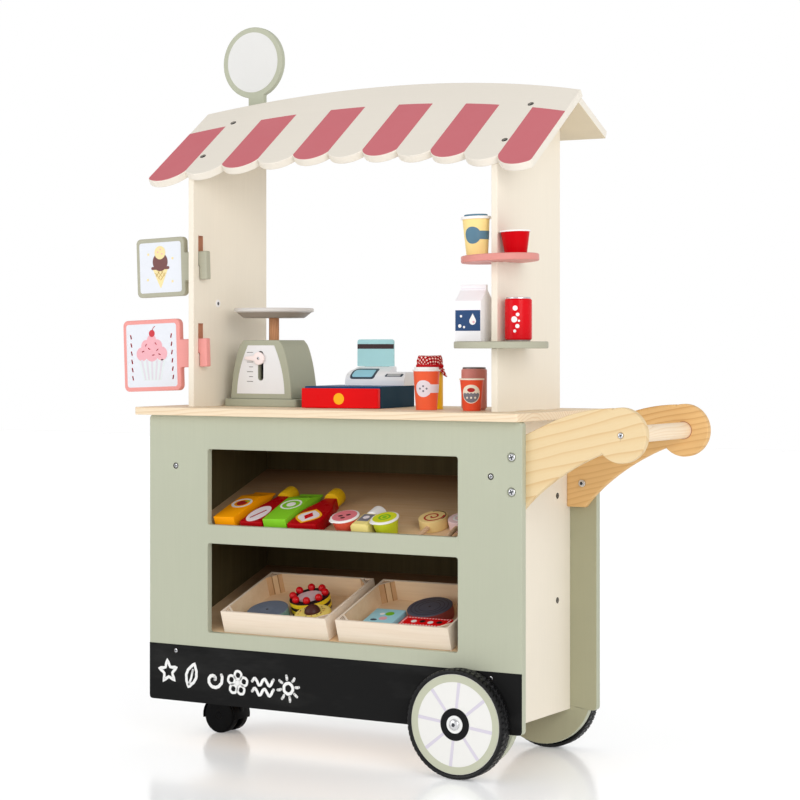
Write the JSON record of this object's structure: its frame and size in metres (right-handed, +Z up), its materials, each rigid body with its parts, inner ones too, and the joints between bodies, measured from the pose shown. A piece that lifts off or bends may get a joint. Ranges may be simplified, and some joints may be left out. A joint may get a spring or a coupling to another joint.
{
  "type": "toy market stall",
  "caption": "Wheeled wooden toy market stall: cabinet with display bays and crates, serving counter, striped awning on posts, push handle, toy scale, till, hanging signs and goods.",
  "frame": {"origin": "on the floor, at the middle of the stall's outer box in X and Y", "axes": "+Z up, +Y from the window front to the closed back, +X from the sign side to the push handle"},
  "size_m": [0.9166, 0.317, 1.1295],
  "materials": {
    "sage_paint": "satin paint on plywood",
    "cream_paint": "satin paint on plywood",
    "pink_paint": "satin paint on plywood",
    "pine": "clear lacquered pine",
    "plywood": "sanded plywood",
    "steel": "zinc plated",
    "tyre": "ribbed black rubber",
    "wheel_paint": "painted wheel disc",
    "nylon": "moulded nylon",
    "castor_black": "moulded black nylon",
    "beech": "stained beech",
    "grey_paint": "satin paint on wood",
    "blue_paint": "satin paint on wood",
    "red_paint": "satin paint on wood",
    "card_blue": "satin paint on thin plywood",
    "orange_paint": "satin paint on wood",
    "yellow_paint": "satin paint on wood",
    "can_pink": "satin paint on wood",
    "white_paint": "satin paint on wood",
    "jar_yellow": "painted wood jar with a cotton cover",
    "goods_mixed": "painted wood, several colours"
  },
  "bodies": {
    "stall": {"front_panel": "sage_paint", "rear_panel": "sage_paint", "left_side_panel": "cream_paint", "right_side_panel": "cream_paint", "counter_top": "pine", "bottom_board": "plywood", "upper_display_shelf": "plywood", "lower_display_shelf": "plywood", "left_post": "cream_paint", "right_post": "cream_paint", "front_awning": "cream_paint", "rear_awning": "cream_paint", "round_sign": "sage_paint", "upper_cup_shelf": "pink_paint", "lower_cup_shelf": "sage_paint", "front_handle_arm": "pine", "rear_handle_arm": "pine", "handle_bar": "pine", "wood_screws": "steel", "handle_bolts": "steel", "axle_bolts": "steel", "castor_plate": "steel", "scale_base": "sage_paint", "scale_body": "sage_paint", "scale_spring": "steel", "register_base": "blue_paint", "register_console": "grey_paint", "juice_boxes": "goods_mixed", "sauce_bottles": "red_paint", "dessert_pots": "goods_mixed", "lollipops": "goods_mixed"},
    "front_wheel": {"front_wheel_disc": "wheel_paint", "front_wheel_tyre": "tyre", "front_wheel_bush": "nylon"},
    "rear_wheel": {"rear_wheel_disc": "wheel_paint", "rear_wheel_tyre": "tyre", "rear_wheel_bush": "nylon"},
    "castor_fork": {"castor_hood": "castor_black", "castor_axle": "steel"},
    "castor_front_roller": {"castor_front_wheel": "castor_black"},
    "castor_rear_roller": {"castor_rear_wheel": "castor_black"},
    "upper_menu": {"upper_menu_sign": "sage_paint"},
    "lower_menu": {"lower_menu_sign": "pink_paint"},
    "left_crate_box": {"left_crate": "plywood", "left_crate_treats": "goods_mixed"},
    "right_crate_box": {"right_crate": "plywood", "right_crate_treats": "goods_mixed"},
    "scale_plunger": {"scale_post": "beech", "scale_pan": "grey_paint", "scale_pointer": "pink_paint"},
    "till_drawer": {"register_drawer": "red_paint"},
    "till_card": {"payment_card": "card_blue"},
    "loose_orange_cup": {"orange_cup": "orange_paint"},
    "loose_small_cup": {"small_cup": "orange_paint"},
    "loose_yellow_cup": {"yellow_cup": "yellow_paint"},
    "loose_red_cup": {"red_cup": "red_paint"},
    "loose_pink_can": {"pink_can": "can_pink"},
    "loose_red_can": {"red_can": "red_paint"},
    "loose_milk_carton": {"milk_carton": "white_paint"},
    "loose_jam_jar": {"jam_jar": "jar_yellow"}
  },
  "joints": [
    {"name": "front_wheel_spin", "type": "hinge", "parent": "stall", "child": "front_wheel", "pos_m": [0.18126, -0.1435, 0.078], "axis": [0, 1, 0], "continuous": true},
    {"name": "rear_wheel_spin", "type": "hinge", "parent": "stall", "child": "rear_wheel", "pos_m": [0.18126, 0.1435, 0.078], "axis": [0, 1, 0], "continuous": true},
    {"name": "castor_swivel", "type": "hinge", "parent": "stall", "child": "castor_fork", "pos_m": [-0.29524, 0, 0.056], "axis": [0, 0, 1], "continuous": true},
    {"name": "castor_front_roll", "type": "hinge", "parent": "castor_fork", "child": "castor_front_roller", "pos_m": [-0.31944, -0.01375, 0.0275], "axis": [0, 1, 0], "continuous": true},
    {"name": "castor_rear_roll", "type": "hinge", "parent": "castor_fork", "child": "castor_rear_roller", "pos_m": [-0.31944, 0.01375, 0.0275], "axis": [0, 1, 0], "continuous": true},
    {"name": "upper_menu_lift", "type": "slide", "parent": "stall", "child": "upper_menu", "axis": [0, 0, 1], "range_m": [0, 0.023]},
    {"name": "lower_menu_lift", "type": "slide", "parent": "stall", "child": "lower_menu", "axis": [0, 0, 1], "range_m": [0, 0.023]},
    {"name": "left_crate_pull", "type": "slide", "parent": "stall", "child": "left_crate_box", "axis": [0, -1, 0], "range_m": [0, 0.14]},
    {"name": "right_crate_pull", "type": "slide", "parent": "stall", "child": "right_crate_box", "axis": [0, -1, 0], "range_m": [0, 0.14]},
    {"name": "scale_press", "type": "slide", "parent": "stall", "child": "scale_plunger", "axis": [0, 0, -1], "range_m": [0, 0.03], "stiffness_N_per_m": 60, "springref_m": -0.02, "deforming": ["scale_spring"]},
    {"name": "drawer_slide", "type": "slide", "parent": "stall", "child": "till_drawer", "axis": [0.1219, -0.9925, 0], "range_m": [0, 0.07]},
    {"name": "card_lift", "type": "slide", "parent": "stall", "child": "till_card", "axis": [0, 0, 1], "range_m": [0, 0.06]},
    {"name": "orange_cup_lift", "type": "slide", "parent": "stall", "child": "loose_orange_cup", "axis": [0, 0, 1], "range_m": [0, 0.1]},
    {"name": "small_cup_lift", "type": "slide", "parent": "stall", "child": "loose_small_cup", "axis": [-0.5, -0.5, 0.7071], "range_m": [0, 0.1]},
    {"name": "yellow_cup_lift", "type": "slide", "parent": "stall", "child": "loose_yellow_cup", "axis": [0, 0, 1], "range_m": [0, 0.06]},
    {"name": "red_cup_lift", "type": "slide", "parent": "stall", "child": "loose_red_cup", "axis": [0, 0, 1], "range_m": [0, 0.08]},
    {"name": "pink_can_lift", "type": "slide", "parent": "stall", "child": "loose_pink_can", "axis": [0, 0, 1], "range_m": [0, 0.1]},
    {"name": "red_can_lift", "type": "slide", "parent": "stall", "child": "loose_red_can", "axis": [0.9, 0, 0.4359], "range_m": [0, 0.1]},
    {"name": "milk_carton_lift", "type": "slide", "parent": "stall", "child": "loose_milk_carton", "axis": [0, -0.95, 0.3122], "range_m": [0, 0.1]},
    {"name": "jam_jar_lift", "type": "slide", "parent": "stall", "child": "loose_jam_jar", "axis": [0, 0, 1], "range_m": [0, 0.1]}
  ]
}
